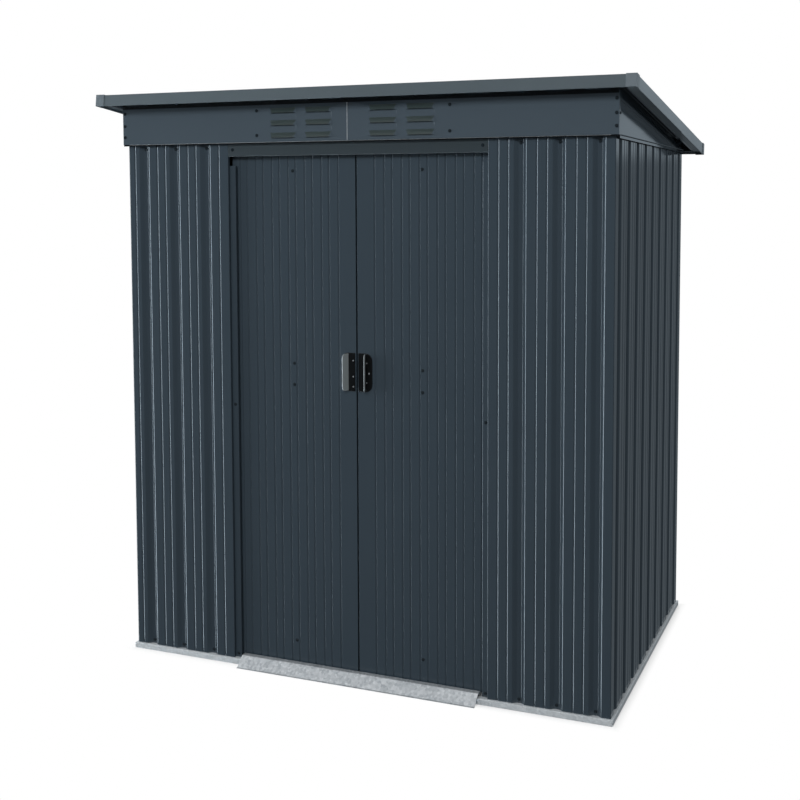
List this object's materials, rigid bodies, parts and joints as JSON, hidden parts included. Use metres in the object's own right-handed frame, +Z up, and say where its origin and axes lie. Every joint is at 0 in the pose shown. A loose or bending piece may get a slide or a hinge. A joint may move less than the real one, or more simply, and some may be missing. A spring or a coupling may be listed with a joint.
{
  "type": "metal storage shed",
  "caption": "Small pent-roof garden storage shed of ribbed, painted sheet steel with two sliding doors, louvred fascia, base rails and a doorway ramp.",
  "frame": {"origin": "on the ground, in the middle of the box that encloses the shed", "axes": "+X to the right as seen from the doors, +Y to the rear, +Z up"},
  "size_m": [1.677, 1.109, 1.7491],
  "materials": {
    "anthracite_paint": "satin",
    "trim_paint": "satin",
    "galvanised_steel": "spangled",
    "black_plastic": "semi-gloss"
  },
  "bodies": {
    "shed": {"front_left_panel": "anthracite_paint", "front_right_panel": "anthracite_paint", "left_wall": "anthracite_paint", "right_wall": "anthracite_paint", "rear_wall": "anthracite_paint", "left_door_post": "anthracite_paint", "right_door_post": "anthracite_paint", "door_header": "anthracite_paint", "left_top_rail": "anthracite_paint", "right_top_rail": "anthracite_paint", "rear_top_rail": "anthracite_paint", "fascia_left": "anthracite_paint", "fascia_right": "anthracite_paint", "left_gable": "anthracite_paint", "right_gable": "anthracite_paint", "roof_panel_left": "anthracite_paint", "roof_panel_middle": "anthracite_paint", "roof_panel_right": "anthracite_paint", "front_roof_trim": "trim_paint", "rear_roof_trim": "trim_paint", "left_trim_front": "trim_paint", "left_trim_rear": "trim_paint", "right_trim_front": "trim_paint", "right_trim_rear": "trim_paint", "front_base_rail": "galvanised_steel", "rear_base_rail": "galvanised_steel", "left_base_rail": "galvanised_steel", "right_base_rail": "galvanised_steel", "door_ramp": "galvanised_steel", "door_track": "galvanised_steel", "left_mid_rail": "galvanised_steel", "right_mid_rail": "galvanised_steel", "rear_mid_rail": "galvanised_steel", "fascia_brackets": "galvanised_steel", "front_roof_beam": "galvanised_steel", "roof_purlin": "galvanised_steel", "roof_corner_caps": "black_plastic"},
    "left_door": {"left_door_leaf": "anthracite_paint", "left_door_braces": "galvanised_steel", "left_door_sliders": "black_plastic", "left_door_handle": "black_plastic"},
    "right_door": {"right_door_leaf": "anthracite_paint", "right_door_braces": "galvanised_steel", "right_door_sliders": "black_plastic", "right_door_handle": "black_plastic"}
  },
  "joints": [
    {"name": "left_door_slide", "type": "slide", "parent": "shed", "child": "left_door", "axis": [-1, 0, 0], "range_m": [0, 0.33]},
    {"name": "right_door_slide", "type": "slide", "parent": "shed", "child": "right_door", "axis": [1, 0, 0], "range_m": [0, 0.33]}
  ]
}
